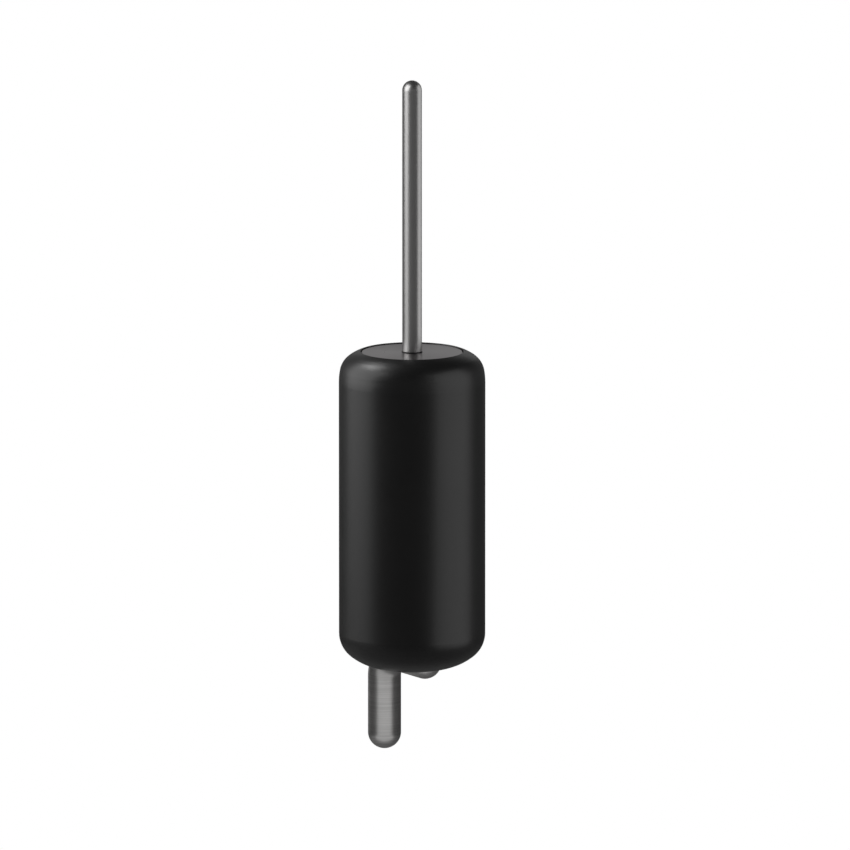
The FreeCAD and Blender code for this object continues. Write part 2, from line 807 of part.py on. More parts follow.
parts["bush_clip"] = ring(
    "bush_clip",
    D("lid_bore"),
    D("clip_radius"),
    D("clip_thick"),
    LID_Z - D("lid_thick") - D("clip_thick"),
)

# -------------------------------------------------------------------- handle
HANDLE_Z = LID_Z + D("handle_gap")
tube_len = D("handle_top") - D("handle_radius") - D("handle_gap")
parts["handle_tube"] = turned(
    "handle_tube",
    [
        (D("handle_radius") - D("handle_wall"), 0),
        (D("handle_radius") - 0.2, 0),
        (D("handle_radius"), 0.2),
        (D("handle_radius"), tube_len),
        (D("handle_radius") - D("handle_wall"), tube_len),
    ],
    z=HANDLE_Z,
)
TUBE_PLUG = D("handle_radius") - D("handle_wall") - D("cap_spigot_slack")
parts["handle_dome"] = dome(
    "handle_dome",
    D("handle_radius"),
    TUBE_PLUG,
    D("cap_spigot_len"),
    z=HANDLE_Z + tube_len,
)
tap = D("stud_radius") + D("stud_slack")
parts["handle_plug"] = turned(
    "handle_plug",
    [
        (tap, -D("spigot_len")),
        (D("spigot_radius"), -D("spigot_len")),
        (D("spigot_radius"), 0),
        (TUBE_PLUG, 0),
        (TUBE_PLUG, D("plug_len") - 0.6),
        (TUBE_PLUG - 0.6, D("plug_len")),
        (tap, D("plug_len")),
    ],
    z=HANDLE_Z,
)
STOP_Z = HANDLE_Z - D("spigot_len") - D("stop_thick")
parts["stop_washer"] = ring(
    "stop_washer", tap, D("stop_radius"), D("stop_thick"), STOP_Z
)
stud_len = D("stud_up") + D("stud_down")
parts["shaft_stud"] = turned(
    "shaft_stud",
    [
        (0, 0),
        (D("stud_radius") - 0.5, 0),
        (D("stud_radius"), 0.5),
        (D("stud_radius"), stud_len - 0.5),
        (D("stud_radius") - 0.5, stud_len),
        (0, stud_len),
    ],
    z=STOP_Z - D("stud_down"),
)

# --------------------------------------------------------------------- brush
CORE_Z = LINER_Z + D("liner_floor") + D("core_bottom")
core_top = CORE_Z + D("core_len")
shaft_len = STOP_Z - core_top
neck_len = D("shaft_neck_len")
parts["brush_shaft"] = turned(
    "brush_shaft",
    [
        (0, -neck_len),
        (D("shaft_neck") - 0.8, -neck_len),
        (D("shaft_neck"), -neck_len + 0.8),
        (D("shaft_neck"), 0),
        (D("shaft_radius"), 0),
        (D("shaft_radius"), shaft_len),
        (tap, shaft_len),
        (tap, shaft_len - D("stud_down") - 1),
        (0, shaft_len - D("stud_down") - 1),
    ],
    z=core_top,
)
CL = D("core_len")
parts["head_core"] = turned(
    "head_core",
    [
        (0, 0),
        (D("core_radius") - 3, 0),
        (D("core_radius"), 3),
        (D("core_radius"), CL - D("core_collar_len") - D("core_taper")),
        (D("core_collar"), CL - D("core_collar_len")),
        (D("core_collar"), CL - 0.6),
        (D("core_collar") - 0.6, CL),
        (D("shaft_neck") + 0.02, CL),
        (D("shaft_neck") + 0.02, CL - neck_len - 0.5),
        (0, CL - neck_len - 0.5),
    ],
    {1: (3.0, 1)},
    z=CORE_Z,
)
BR = D("bristle_round")
parts["bristle_field"] = turned(
    "bristle_field",
    [
        (D("core_radius") + 0.02, 0),
        (D("bristle_radius") - BR, 0),
        (D("bristle_radius"), BR),
        (D("bristle_radius"), D("bristle_len") - BR),
        (D("bristle_radius") - BR, D("bristle_len")),
        (D("core_radius") + 0.02, D("bristle_len")),
    ],
    {1: (BR, 1), 3: (BR, 1)},
    z=CORE_Z + D("bristle_from"),
)
parts["crown_bristles"] = turned(
    "crown_bristles",
    [
        (0, -D("crown_depth")),
        (D("crown_radius") - 4, -D("crown_depth")),
        (D("crown_radius"), -D("crown_depth") + 4),
        (D("crown_radius"), D("crown_up")),
        (D("core_radius") + 0.02, D("crown_up")),
        (D("core_radius") + 0.02, -0.02),
        (0, -0.02),
    ],
    {1: (4.0, 1)},
    z=CORE_Z,
)

# -------------------------------------------------------------- finish, write
doc.recompute()
for name, obj in parts.items():
    obj.Label = name
doc.recompute()

bad = [o.Name for o in doc.Objects if "Invalid" in o.State or "Error" in o.State]
for name, obj in parts.items():
    shape = obj.Shape
    if shape.isNull() or not shape.isValid() or not shape.Solids:
        bad.append(name)
if bad:
    raise SystemExit("failed objects: %s" % ", ".join(sorted(set(bad))))

os.makedirs("parts", exist_ok=True)
for name, obj in sorted(parts.items()):
    box = obj.Shape.BoundBox
    print(
        "%-20s solids %d  volume %10.1f mm3  x %7.2f %7.2f  y %7.2f %7.2f  z %7.2f %7.2f"
        % (
            name,
            len(obj.Shape.Solids),
            obj.Shape.Volume,
            box.XMin,
            box.XMax,
            box.YMin,
            box.YMax,
            box.ZMin,
            box.ZMax,
        )
    )
    obj.Shape.exportStep("parts/%s.step" % name)
print(len(parts), "sub-parts written")
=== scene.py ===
import math
import random

import bmesh
import bpy
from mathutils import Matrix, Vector


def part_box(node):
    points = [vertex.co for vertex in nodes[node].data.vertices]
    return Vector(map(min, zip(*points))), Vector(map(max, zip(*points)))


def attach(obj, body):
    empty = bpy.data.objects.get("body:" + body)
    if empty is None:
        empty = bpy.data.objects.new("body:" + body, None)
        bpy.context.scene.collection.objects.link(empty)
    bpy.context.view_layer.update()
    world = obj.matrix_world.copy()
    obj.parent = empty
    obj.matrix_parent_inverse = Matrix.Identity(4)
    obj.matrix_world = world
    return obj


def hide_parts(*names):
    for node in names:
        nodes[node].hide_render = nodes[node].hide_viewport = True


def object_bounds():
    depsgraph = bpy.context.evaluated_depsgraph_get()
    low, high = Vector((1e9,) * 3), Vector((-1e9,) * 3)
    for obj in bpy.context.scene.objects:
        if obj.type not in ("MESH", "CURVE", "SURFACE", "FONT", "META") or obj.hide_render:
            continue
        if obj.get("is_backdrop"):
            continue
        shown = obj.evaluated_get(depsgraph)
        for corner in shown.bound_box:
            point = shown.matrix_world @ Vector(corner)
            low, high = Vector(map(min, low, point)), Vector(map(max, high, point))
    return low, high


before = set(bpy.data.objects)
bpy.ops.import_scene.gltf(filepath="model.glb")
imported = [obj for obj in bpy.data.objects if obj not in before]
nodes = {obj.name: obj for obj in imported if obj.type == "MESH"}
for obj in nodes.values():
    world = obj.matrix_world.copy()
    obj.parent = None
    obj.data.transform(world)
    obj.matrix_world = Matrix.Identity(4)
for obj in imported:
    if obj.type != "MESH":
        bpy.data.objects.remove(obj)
CAD_LOW, CAD_HIGH = (list(v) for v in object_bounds())
MM = 0.001
AXIS_Y = -0.0535      # the cup and the brush share this upright axis, at x = 0
LEG_Y = -0.0188       # axis of the bracket's upright leg


# ---------------------------------------------------------------- node helpers

class Net:
    """A small builder for a material's node tree."""

    def __init__(self, name):
        self.mat = bpy.data.materials.new(name)
        self.mat.use_nodes = True
        self.tree = self.mat.node_tree
        self.nodes = self.tree.nodes
        self.links = self.tree.links
        self.bsdf = self.nodes["Principled BSDF"]
        self.out = self.nodes["Material Output"]
        self._coords = None

    def link(self, a, b):
        self.links.new(a, b)

    def feed(self, socket, value):
        if value is None:
            return
        if hasattr(value, "is_output"):
            self.link(value, socket)
        else:
            socket.default_value = value

    def coords(self):
        if self._coords is None:
            self._coords = self.nodes.new("ShaderNodeTexCoord")
        return self._coords

    def here(self):
        return self.coords().outputs["Object"]

    def math(self, op, a, b=None, c=None, clamp=False):
        n = self.nodes.new("ShaderNodeMath")
        n.operation = op
        n.use_clamp = clamp
        self.feed(n.inputs[0], a)
        self.feed(n.inputs[1], b)
        self.feed(n.inputs[2], c)
        return n.outputs[0]

    def vmath(self, op, a, b=None):
        n = self.nodes.new("ShaderNodeVectorMath")
        n.operation = op
        self.feed(n.inputs[0], a)
        self.feed(n.inputs[1], b)
        return n.outputs["Value"] if op in ("LENGTH", "DOT_PRODUCT", "DISTANCE") else n.outputs["Vector"]

    def split(self, v):
        n = self.nodes.new("ShaderNodeSeparateXYZ")
        self.feed(n.inputs[0], v)
        return n.outputs[0], n.outputs[1], n.outputs[2]

    def join(self, x, y, z):
        n = self.nodes.new("ShaderNodeCombineXYZ")
        for s, v in zip(n.inputs, (x, y, z)):
            self.feed(s, v)
        return n.outputs[0]

    def noise(self, vector, scale, detail=2.0, rough=0.5, distortion=0.0):
        n = self.nodes.new("ShaderNodeTexNoise")
        self.feed(n.inputs["Vector"], vector)
        n.inputs["Scale"].default_value = scale
        n.inputs["Detail"].default_value = detail
        n.inputs["Roughness"].default_value = rough
        n.inputs["Distortion"].default_value = distortion
        return n.outputs["Fac"]

    def spread(self, value, lo, hi, from_lo=0.3, from_hi=0.7):
        n = self.nodes.new("ShaderNodeMapRange")
        n.clamp = True
        self.feed(n.inputs["Value"], value)
        n.inputs["From Min"].default_value = from_lo
        n.inputs["From Max"].default_value = from_hi
        n.inputs["To Min"].default_value = lo
        n.inputs["To Max"].default_value = hi
        return n.outputs["Result"]

    def tint(self, value, dark, light, from_lo=0.3, from_hi=0.7):
        n = self.nodes.new("ShaderNodeValToRGB")
        n.color_ramp.elements[0].position = from_lo
        n.color_ramp.elements[1].position = from_hi
        n.color_ramp.elements[0].color = (*dark, 1)
        n.color_ramp.elements[1].color = (*light, 1)
        self.feed(n.inputs["Fac"], value)
        return n.outputs["Color"]

    def bump(self, height, depth, strength=1.0, below=None):
        n = self.nodes.new("ShaderNodeBump")
        n.inputs["Strength"].default_value = strength
        n.inputs["Distance"].default_value = depth
        self.feed(n.inputs["Height"], height)
        self.feed(n.inputs["Normal"], below)
        return n.outputs["Normal"]

    def put(self, **values):
        for k, v in values.items():
            self.feed(self.bsdf.inputs[k.replace("_", " ")], v)


def grey(v, warm=0.0):
    return (v * (1 + warm), v, v * (1 - warm))


def tube_frame(net, kind):
    """Distance along the tube's own axis, the direction round it, and the axis direction, from where a point is."""
    x, y, z = net.split(net.here())
    if kind == "bracket":
        ry = net.math("MAXIMUM", net.math("ADD", y, 0.0358), 0.0)
        rz = net.math("MAXIMUM", net.math("ADD", z, 0.0550), 0.0)
        turn = net.math("ARCTAN2", rz, ry)
        low = net.math("MINIMUM", net.math("ADD", z, 0.0550), 0.0)
        far = net.math("MINIMUM", net.math("ADD", y, 0.0358), 0.0)
        along = net.math("SUBTRACT", net.math("MULTIPLY_ADD", turn, 0.0170, low), far)
        axis = net.vmath("NORMALIZE", net.join(0.0, net.math("MULTIPLY", rz, -1.0), net.math("ADD", ry, 1e-6)))
        return along, x, axis
    if kind == "y":
        return y, net.math("ARCTAN2", x, net.math("ADD", z, 0.038)), net.join(0.0, 1.0, 0.0)
    return z, net.math("ARCTAN2", x, net.math("SUBTRACT", y, AXIS_Y)), net.join(0.0, 0.0, 1.0)


def brushed(name, kind, dark, light, rough, aniso, grain=2600.0, depth=6e-6, lengthwise=False):
    """Brushed stainless steel. The fine lines go round the tube, or along it if lengthwise."""
    net = Net(name)
    along, across, axis = tube_frame(net, kind)
    x, y, z = net.split(net.here())
    if lengthwise:
        angle = net.math("ARCTAN2", x, net.math("SUBTRACT", y, AXIS_Y))
        round_at = net.join(net.math("MULTIPLY", net.math("COSINE", angle), 60.0), net.math("MULTIPLY", net.math("SINE", angle), 60.0), net.math("MULTIPLY", z, 7.0))
        fine_at = round_at
        broad_at = net.vmath("SCALE", round_at)
        broad_at.node.inputs["Scale"].default_value = 0.22
        fine = net.noise(fine_at, 1.0, 4.0, 0.62)
        broad = net.noise(broad_at, 1.0, 2.0, 0.5)
    else:
        spin = net.vmath("SCALE", net.here())
        spin.node.inputs["Scale"].default_value = 26.0
        fine_at = net.vmath("ADD", spin, net.join(0.0, 0.0, net.math("MULTIPLY", along, grain)))
        slow = net.vmath("SCALE", net.here())
        slow.node.inputs["Scale"].default_value = 14.0
        broad_at = net.vmath("ADD", slow, net.join(0.0, 0.0, net.math("MULTIPLY", along, grain * 0.5)))
        fine = net.noise(fine_at, 1.0, 3.0, 0.6)
        broad = net.noise(broad_at, 1.0, 2.0, 0.5)
    mixed = net.math("MULTIPLY_ADD", broad, 0.55, net.math("MULTIPLY", fine, 0.45))
    net.put(Metallic=1.0, Base_Color=net.tint(mixed, dark, light, 0.36, 0.63),
            Roughness=net.spread(mixed, rough - (0.012 if lengthwise else 0.03), rough + (0.015 if lengthwise else 0.045), 0.34, 0.66),
            Anisotropic=aniso, Normal=net.bump(fine, depth, 0.8))
    if aniso > 0.0:
        if lengthwise:
            net.put(Tangent=net.vmath("NORMALIZE", net.join(net.math("SUBTRACT", AXIS_Y, y), x, 0.0)))
        else:
            net.put(Tangent=axis)
    return net.mat


def turned_steel(name, dark, light, rough, centre=(0.0, AXIS_Y), face=False, grain=4200.0):
    """Plain turned steel: lathe rings on flat faces (face) or along an upright shank."""
    net = Net(name)
    x, y, z = net.split(net.here())
    dx = net.math("SUBTRACT", x, centre[0])
    dy = net.math("SUBTRACT", y, centre[1])
    radius = net.math("SQRT", net.math("MULTIPLY_ADD", dx, dx, net.math("MULTIPLY", dy, dy)))
    s = net.math("ADD", radius, net.math("MULTIPLY", z, 1.0 if not face else 0.0))
    slow = net.vmath("SCALE", net.here())
    slow.node.inputs["Scale"].default_value = 40.0
    rings_at = net.vmath("ADD", slow, net.join(0.0, net.math("MULTIPLY", s, grain), 0.0))
    rings = net.noise(rings_at, 1.0, 3.0, 0.6)
    cloud = net.noise(net.here(), 90.0, 2.0)
    mixed = net.math("MULTIPLY_ADD", cloud, 0.35, net.math("MULTIPLY", rings, 0.65))
    net.put(Metallic=1.0, Base_Color=net.tint(mixed, dark, light, 0.34, 0.66),
            Roughness=net.spread(mixed, rough - 0.04, rough + 0.06),
            Normal=net.bump(rings, 5e-6, 0.7))
    return net.mat


# ------------------------------------------------------------------- materials

def satin_black():
    """Powder-coated black shell: fine orange peel, slight change of gloss, faint scuffs."""
    net = Net("cup_black_satin")
    peel = net.noise(net.here(), 1500.0, 2.0, 0.5)
    waves = net.noise(net.here(), 260.0, 2.0, 0.5)
    cloud = net.noise(net.here(), 22.0, 3.0, 0.55)
    specks = net.noise(net.here(), 5200.0, 1.0)
    height = net.math("MULTIPLY_ADD", waves, 0.35, net.math("MULTIPLY", peel, 0.65))
    net.put(Base_Color=net.tint(net.math("MULTIPLY_ADD", specks, 0.5, net.math("MULTIPLY", cloud, 0.5)),
                                (0.0046, 0.0046, 0.0047), (0.0066, 0.0065, 0.0065), 0.36, 0.64),
            Roughness=net.spread(net.math("MULTIPLY_ADD", cloud, 0.6, net.math("MULTIPLY", peel, 0.4)),
                                 0.345, 0.395, 0.35, 0.65),
            IOR=1.62, Normal=net.bump(height, 7e-6, 0.8))
    return net.mat


def lid_steel():
    """Dark satin steel disc with very fine turning marks."""
    net = Net("lid_dark_steel")
    x, y, z = net.split(net.here())
    dy = net.math("SUBTRACT", y, AXIS_Y)
    radius = net.math("SQRT", net.math("MULTIPLY_ADD", x, x, net.math("MULTIPLY", dy, dy)))
    slow = net.vmath("SCALE", net.here())
    slow.node.inputs["Scale"].default_value = 30.0
    rings = net.noise(net.vmath("ADD", slow, net.join(0.0, 0.0, net.math("MULTIPLY", radius, 3600.0))), 1.0, 3.0, 0.6)
    cloud = net.noise(net.here(), 60.0, 2.0)
    mixed = net.math("MULTIPLY_ADD", cloud, 0.4, net.math("MULTIPLY", rings, 0.6))
    net.put(Metallic=1.0, Base_Color=net.tint(mixed, (0.236, 0.222, 0.225), (0.292, 0.275, 0.279), 0.34, 0.66),
            Roughness=net.spread(mixed, 0.27, 0.34), Anisotropic=0.35,
            Tangent=net.vmath("NORMALIZE", net.join(x, dy, 1e-5)),
            Normal=net.bump(rings, 4e-6, 0.6))
    return net.mat


def moulded(name, dark, light, rough, peel=900.0, depth=1.2e-5, ior=1.5, flow=True, **extra):
    """Injection-moulded plastic: fine spark texture, faint flow streaks, slight change of gloss."""
    net = Net(name)
    fine = net.noise(net.here(), peel, 3.0, 0.6)
    x, y, z = net.split(net.here())
    streak = net.noise(net.join(net.math("MULTIPLY", x, 150.0), net.math("MULTIPLY", y, 150.0),
                                net.math("MULTIPLY", z, 18.0)), 1.0, 3.0, 0.55)
    mixed = net.math("MULTIPLY_ADD", streak, 0.55 if flow else 0.2, net.math("MULTIPLY", fine, 0.45))
    net.put(Base_Color=net.tint(mixed, dark, light, 0.34, 0.66),
            Roughness=net.spread(mixed, rough - 0.05, rough + 0.05), IOR=ior,
            Normal=net.bump(fine, depth, 0.8), **extra)
    return net.mat


def rubber():
    net = Net("black_rubber_matt")
    fine = net.noise(net.here(), 2400.0, 3.0, 0.65)
    bloom = net.noise(net.here(), 160.0, 3.0, 0.6)
    net.put(Base_Color=net.tint(bloom, (0.012, 0.012, 0.0125), (0.03, 0.03, 0.03), 0.35, 0.72),
            Roughness=net.spread(fine, 0.62, 0.8), IOR=1.5, Normal=net.bump(fine, 2e-5, 0.8))
    return net.mat


def nylon():
    """Bristle nylon: near black, each filament a little different, and each filament's colour lightening from root to
    tip as a painted sheen, so the root is painted darker as shade.
    """
    net = Net("bristle_nylon")
    own = net.nodes.new("ShaderNodeAttribute")
    own.attribute_name = "fibre"
    along = net.nodes.new("ShaderNodeAttribute")
    along.attribute_name = "along"
    fleck = net.noise(net.here(), 1800.0, 2.0)
    shade = net.math("MULTIPLY_ADD", own.outputs["Fac"], 0.6, net.math("MULTIPLY", fleck, 0.25))
    # painted sheen and painted shade: the colour lightens from each filament's root to its tip
    shade = net.math("MULTIPLY_ADD", along.outputs["Fac"], 0.25, shade)
    net.put(Base_Color=net.tint(shade, (0.02, 0.02, 0.0205), (0.1, 0.099, 0.097), 0.15, 0.95),
            Roughness=net.spread(own.outputs["Fac"], 0.3, 0.46, 0.0, 1.0), IOR=1.53,
            Normal=net.bump(fleck, 1e-5, 0.5))
    return net.mat


STEEL_DARK, STEEL_LIGHT = grey(0.425, 0.012), grey(0.525, 0.012)
bracket_steel = brushed("bracket_brushed_steel", "bracket", STEEL_DARK, STEEL_LIGHT, 0.36, 0.62, depth=1.6e-6)
arm_steel = brushed("arm_brushed_steel", "y", STEEL_DARK, STEEL_LIGHT, 0.36, 0.62, depth=1.6e-6)
leg_cap_steel = brushed("leg_cap_brushed_steel", "z", STEEL_DARK, STEEL_LIGHT, 0.34, 0.15, depth=1.6e-6)
rod_steel = brushed("rod_satin_steel", "z", grey(0.49, 0.007), grey(0.52, 0.007), 0.37, 0.0, depth=2e-7, lengthwise=True)
rod_tip_steel = brushed("rod_tip_satin_steel", "z", grey(0.47, 0.007), grey(0.53, 0.007), 0.36, 0.0, grain=1500.0, depth=1e-6)
plate_steel = brushed("plate_brushed_steel", "z", grey(0.42, 0.004), grey(0.52, 0.004), 0.3, 0.7)
plain = turned_steel("plain_turned_steel", grey(0.5, 0.003), grey(0.62, 0.003), 0.27)
plain_small = turned_steel("plain_turned_screw_steel", grey(0.42, 0.003), grey(0.56, 0.003), 0.3, (0.0, -0.0055))

LOOKS = {
    "bracket_bar": bracket_steel, "arm_end_cap": arm_steel, "wall_socket": arm_steel,
    "leg_end_cap": leg_cap_steel, "wall_plate": plate_steel,
    "handle_tube": rod_steel, "handle_dome": rod_tip_steel,
    "socket_grub_screw": plain_small, "seat_bush": plain, "base_screw": plain, "base_washer": plain,
    "handle_plug": plain, "shaft_stud": plain, "stop_washer": plain, "brush_shaft": plain, "bush_clip": plain,
    "lid_disc": lid_steel(), "cup_shell": satin_black(),
    "liner_cup": moulded("liner_moulded_grey", (0.10, 0.101, 0.104), (0.135, 0.136, 0.139), 0.42),
    "lid_bush": moulded("bush_acetal", (0.014, 0.014, 0.0145), (0.024, 0.024, 0.024), 0.36, flow=False),
    "head_core": moulded("core_moulded_black", (0.013, 0.013, 0.0135), (0.024, 0.024, 0.024), 0.42),
}
rub = rubber()
for n in ("lid_gasket", "liner_seat_ring", "seat_pad"):
    LOOKS[n] = rub
for n, mat in LOOKS.items():
    o = nodes[n]
    for s in o.material_slots:
        s.link = "OBJECT"
        s.material = mat


# a weighted-normal modifier evens out the shading of the fine facets where the lip rolls over
lip = nodes["cup_shell"].modifiers.new("even_shading", "WEIGHTED_NORMAL")
lip.mode, lip.weight, lip.keep_sharp = "FACE_AREA", 60, True


# -------------------------------------------------------------- bristle pieces

def add_fibre(bm, layers, points, thick, shade, sides=3):
    """One filament: a thin tapering tube along the points, closed at its tip."""
    rings = []
    count = len(points)
    for i, p in enumerate(points):
        a = points[max(i - 1, 0)]
        b = points[min(i + 1, count - 1)]
        d = (b - a).normalized()
        u = d.orthogonal().normalized()
        v = d.cross(u)
        t = i / (count - 1)
        r = thick * (1.0 - 0.25 * t)
        ring = []
        for k in range(sides):
            q = 2 * math.pi * k / sides
            vert = bm.verts.new(p + u * (r * math.cos(q)) + v * (r * math.sin(q)))
            vert[layers[0]] = shade
            # the second layer holds how far along the filament a point lies; the bristle material paints a sheen and
            # root shade from it
            vert[layers[1]] = t
            ring.append(vert)
        rings.append(ring)
    # neighbouring rings are matched by their nearest start corner, so the tube never twists
    for i in range(count - 1):
        low, high = rings[i], rings[i + 1]
        best = min(range(sides), key=lambda s: (high[s].co - low[0].co).length)
        high = high[best:] + high[:best]
        rings[i + 1] = high
        for k in range(sides):
            bm.faces.new((low[k], low[(k + 1) % sides], high[(k + 1) % sides], high[k]))
    tip = bm.verts.new(points[-1] + (points[-1] - points[-2]).normalized() * thick * 0.5)
    tip[layers[0]] = shade
    tip[layers[1]] = 1.0
    last = rings[-1]
    for k in range(sides):
        bm.faces.new((last[k], last[(k + 1) % sides], tip))
    bm.faces.new(list(reversed(rings[0])))


def bristle_mesh(name, tufts, seed, thick=0.19 * MM):
    """Tufts are (root, direction, length, fibre count, root radius, splay, keep) and keep(p) pulls a point inside its limits."""
    rng = random.Random(seed)
    bm = bmesh.new()
    layers = (bm.verts.layers.float.new("fibre"), bm.verts.layers.float.new("along"))
    for root, direction, length, count, spot, splay, keep in tufts:
        direction = direction.normalized()
        u = direction.orthogonal().normalized()
        v = direction.cross(u)
        lean = u * rng.uniform(-0.04, 0.04) + v * rng.uniform(-0.04, 0.04)
        for i in range(count):
            q = i * 2.399963 + rng.uniform(-0.25, 0.25)
            r = math.sqrt((i + 0.5) / count)
            side = u * math.cos(q) + v * math.sin(q)
            start = root + side * (spot * r)
            aim = (direction + lean + side * (splay * r) + u * rng.uniform(-0.05, 0.05) + v * rng.uniform(-0.05, 0.05)).normalized()
            own = length * rng.uniform(0.955, 1.0)
            bow = (u * rng.uniform(-1, 1) + v * rng.uniform(-1, 1)) * (0.028 * own)
            wave_a, wave_p = rng.uniform(0.05, 0.13) * MM, rng.uniform(0, 6.28)
            wave_d = (u * math.cos(wave_p) + v * math.sin(wave_p))
            steps = 5
            points = []
            for s in range(steps + 1):
                t = s / steps
                p = start + aim * (own * t) + bow * (t * t) + wave_d * (wave_a * math.sin(t * 17.0 + wave_p) * min(1.0, 4 * t))
                points.append(keep(p))
            add_fibre(bm, layers, points, thick * rng.uniform(0.9, 1.12), rng.random())
    me = bpy.data.meshes.new(name)
    bm.to_mesh(me)
    bm.free()
    for p in me.polygons:
        p.use_smooth = True
    o = bpy.data.objects.new(name, me)
    bpy.context.scene.collection.objects.link(o)
    return o


def inside(lo, hi, reach, inner=0.0):
    """Keeps a fibre's point within a height range and a radius about the brush axis."""
    def keep(p):
        dx, dy = p.x, p.y - AXIS_Y
        r = math.hypot(dx, dy)
        k = 1.0
        if r > reach:
            k = reach / r
        return Vector((dx * k, AXIS_Y + dy * k, min(max(p.z, lo), hi)))
    return keep


f_lo, f_hi = (Vector(v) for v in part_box("bristle_field"))
c_lo, c_hi = (Vector(v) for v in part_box("crown_bristles"))
core_lo, core_hi = (Vector(v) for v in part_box("head_core"))
core_r = (core_hi.x - core_lo.x) / 2
reach = (f_hi.x - f_lo.x) / 2 - 0.2 * MM
per_ring = 16
row_count = 14
rng = random.Random(11)
field = []
for row in range(row_count):
    z = f_lo.z + 3.0 * MM + (f_hi.z - f_lo.z - 6.0 * MM) * row / (row_count - 1)
    for k in range(per_ring):
        a = 2 * math.pi * (k + row * 0.382) / per_ring
        d = Vector((math.cos(a), math.sin(a), 0.0))
        tilt = 0.0
        if row == 0:
            tilt = -0.04
        elif row == row_count - 1:
            tilt = 0.04
        root = Vector((0, AXIS_Y, z)) + d * (core_r - 0.9 * MM)
        out = reach - core_r + 0.9 * MM
        if row in (0, row_count - 1):
            out *= 0.94
        field.append((root, d + Vector((0, 0, tilt)), out * rng.uniform(0.985, 1.0), 25, 1.2 * MM, 0.15,
                      inside(f_lo.z + 0.2 * MM, f_hi.z - 0.2 * MM, reach)))
bristles = bristle_mesh("bristle_tufts", field, 23)

crown = []
c_reach = (c_hi.x - c_lo.x) / 2 - 0.2 * MM
foot = core_lo.z
for ring_r, lift, count, drop, length, fibres, spot in (
        (0.0, 0.5, 1, 1.0, 6.2, 44, 2.1), (3.1, 0.5, 7, 0.66, 8.4, 26, 1.1), (5.6, 0.5, 11, 0.40, 11.2, 26, 1.1),
        (7.2, 1.3, 14, 0.22, 11.9, 24, 1.0), (7.3, 3.0, 14, 0.03, 11.2, 24, 1.0),
        (7.4, (f_lo.z - foot) / MM - 0.4, 16, 0.02, 11.1, 24, 1.0)):
    for k in range(count):
        a = 2 * math.pi * (k + 0.5 * (count % 2) + lift * 0.2) / count
        d = Vector((math.cos(a), math.sin(a), 0.0)) if ring_r else Vector((0, 0, 0))
        root = Vector((0, AXIS_Y, foot + lift * MM)) + d * (ring_r * MM)
        crown.append((root, d * (1 - drop) + Vector((0, 0, -drop)), length * MM, fibres, spot * MM, 0.24,
                      inside(c_lo.z + 0.15 * MM, max(c_hi.z, f_lo.z) + 1.6 * MM, c_reach)))
crown_tuft = bristle_mesh("crown_tufts", crown, 31)

nylon_mat = nylon()
for o in (bristles, crown_tuft):
    o.data.materials.append(nylon_mat)
    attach(o, "brush")
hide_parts("bristle_field")
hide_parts("crown_bristles")


# ------------------------------------------------------- camera, lights, floor

def unit(az, el):
    a, e = math.radians(az), math.radians(el)
    return Vector((math.sin(a) * math.cos(e), -math.cos(a) * math.cos(e), math.sin(e)))


CAM_AZ, CAM_EL = -32.0, 10.0
right = Vector((math.cos(math.radians(CAM_AZ)), math.sin(math.radians(CAM_AZ)), 0.0))
target = Vector((0.0, AXIS_Y, 0.1192)) + right * 0.00854
back = unit(CAM_AZ, CAM_EL)
cam_data = bpy.data.cameras.new("camera")
cam_data.lens, cam_data.sensor_width = 800.0, 36.0
cam_data.clip_start, cam_data.clip_end = 0.1, 60.0
camera = bpy.data.objects.new("camera", cam_data)
camera.rotation_mode = "QUATERNION"
camera.location = target + back * 12.5
camera.rotation_quaternion = (-back).to_track_quat("-Z", "Y")
bpy.context.scene.collection.objects.link(camera)
bpy.context.scene.camera = camera

MIDDLE = Vector((0.0, AXIS_Y, 0.12))


def softbox(name, turn, el, distance, width, height, power, only=(), skip=()):
    """A rectangular area light, turn degrees to the right of the camera, aimed at the middle of the object.
    It lights only the objects in only, or all but those in skip."""
    data = bpy.data.lights.new(name, "AREA")
    data.shape = "RECTANGLE"
    data.size, data.size_y = width, height
    data.energy = power
    o = bpy.data.objects.new(name, data)
    d = unit(CAM_AZ + turn, el)
    o.location = MIDDLE + d * distance
    o.rotation_mode = "QUATERNION"
    o.rotation_quaternion = d.to_track_quat("Z", "Y")
    o.visible_camera = False
    bpy.context.scene.collection.objects.link(o)
    if only or skip:
        group = bpy.data.collections.new(name + "_linking")
        for item in only or skip:
            group.objects.link(item)
        for item in group.collection_objects:
            item.light_linking.link_state = "INCLUDE" if only else "EXCLUDE"
        o.light_linking.receiver_collection = group
    return o


WALL_PARTS = [nodes[n] for n in ("bracket_bar", "leg_end_cap", "arm_end_cap", "wall_socket", "wall_plate", "socket_grub_screw")]
ROD_PARTS = [nodes[n] for n in ("handle_tube", "handle_dome")]
softbox("left_softbox", -93, 23, 1.8, 2.15, 2.3, 25.5, skip=WALL_PARTS + ROD_PARTS)
softbox("right_softbox", 69, 6, 1.8, 2.4, 3.2, 17.5, skip=WALL_PARTS + ROD_PARTS)
softbox("rod_left_softbox", -70, 28, 1.8, 1.85, 2.3, 27.0, only=ROD_PARTS)
softbox("rod_right_softbox", 100, 4, 1.8, 2.15, 2.6, 12.5, only=ROD_PARTS)
softbox("left_high_softbox", -118, 54, 1.8, 0.75, 0.55, 6.2, skip=WALL_PARTS + ROD_PARTS)
softbox("rod_front_fill", 0, -10, 1.8, 3.0, 2.0, 0.6, only=ROD_PARTS)
softbox("back_softbox", 176, 20, 2.2, 1.4, 0.9, 1.3)
softbox("front_panel", 0, 6, 1.8, 4.1, 1.3, 16.4, only=WALL_PARTS)
softbox("under_panel", 0, -60, 0.9, 2.4, 1.2, 4.6, only=WALL_PARTS)
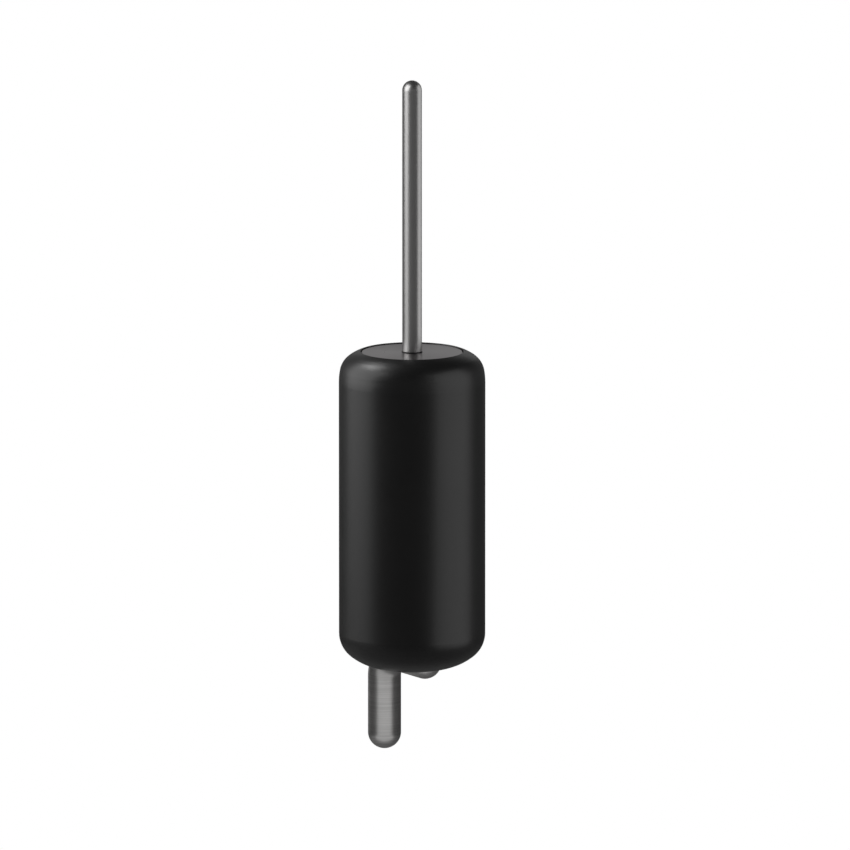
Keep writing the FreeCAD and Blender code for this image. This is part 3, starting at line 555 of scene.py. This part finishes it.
softbox("rear_panel", 205, 12, 2.0, 2.2, 1.4, 9.0, only=WALL_PARTS)

world = bpy.data.worlds.new("studio")
bpy.context.scene.world = world
world.use_nodes = True
wn, wl = world.node_tree.nodes, world.node_tree.links
sky = wn["Background"]
sky.inputs["Strength"].default_value = 1.0
where = wn.new("ShaderNodeTexCoord")
split = wn.new("ShaderNodeSeparateXYZ")
fade = wn.new("ShaderNodeValToRGB")
ease = wn.new("ShaderNodeMapRange")
ease.inputs["From Min"].default_value = -1.0
wl.new(where.outputs["Generated"], split.inputs[0])
wl.new(split.outputs[2], ease.inputs["Value"])
wl.new(ease.outputs["Result"], fade.inputs["Fac"])
wl.new(fade.outputs["Color"], sky.inputs["Color"])
ramp = fade.color_ramp
ramp.elements[0].position, ramp.elements[0].color = 0.0, (0.05, 0.05, 0.05, 1)
ramp.elements[1].position, ramp.elements[1].color = 1.0, (0.04, 0.04, 0.04, 1)
for at, v in ((0.3, 0.08), (0.45, 0.12), (0.6, 0.12), (0.75, 0.06)):
    e = ramp.elements.new(at)
    e.color = (v, v, v, 1)
page = wn.new("ShaderNodeBackground")
page.inputs["Color"].default_value = (1, 1, 1, 1)
page.inputs["Strength"].default_value = 1.0
path = wn.new("ShaderNodeLightPath")
mix = wn.new("ShaderNodeMixShader")
wl.new(path.outputs["Is Camera Ray"], mix.inputs[0])
wl.new(sky.outputs[0], mix.inputs[1])
wl.new(page.outputs[0], mix.inputs[2])
wl.new(mix.outputs[0], wn["World Output"].inputs["Surface"])

floor_mesh = bpy.data.meshes.new("studio_floor")
bm = bmesh.new()
bmesh.ops.create_circle(bm, cap_ends=True, segments=96, radius=4.5)
bm.to_mesh(floor_mesh)
bm.free()
floor = bpy.data.objects.new("studio_floor", floor_mesh)
floor.location = (0.0, 0.0, CAD_LOW[2] - 0.65)
bpy.context.scene.collection.objects.link(floor)
net = Net("studio_floor_pale")
fn, fl = net.nodes, net.links
net.put(Base_Color=(0.31, 0.31, 0.31, 1.0), Roughness=0.9)
glow = fn.new("ShaderNodeEmission")
glow.inputs["Color"].default_value = (1, 1, 1, 1)
glow.inputs["Strength"].default_value = 1.0
clear = fn.new("ShaderNodeBsdfTransparent")
seen = fn.new("ShaderNodeLightPath")
sides = fn.new("ShaderNodeNewGeometry")
m1, m2 = fn.new("ShaderNodeMixShader"), fn.new("ShaderNodeMixShader")
fl.new(seen.outputs["Is Camera Ray"], m1.inputs[0])
fl.new(net.bsdf.outputs[0], m1.inputs[1])
fl.new(glow.outputs[0], m1.inputs[2])
fl.new(sides.outputs["Backfacing"], m2.inputs[0])
fl.new(m1.outputs[0], m2.inputs[1])
fl.new(clear.outputs[0], m2.inputs[2])
fl.new(m2.outputs[0], net.out.inputs["Surface"])
floor_mesh.materials.append(net.mat)
floor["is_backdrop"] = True

bpy.context.scene.view_settings.view_transform = "Standard"
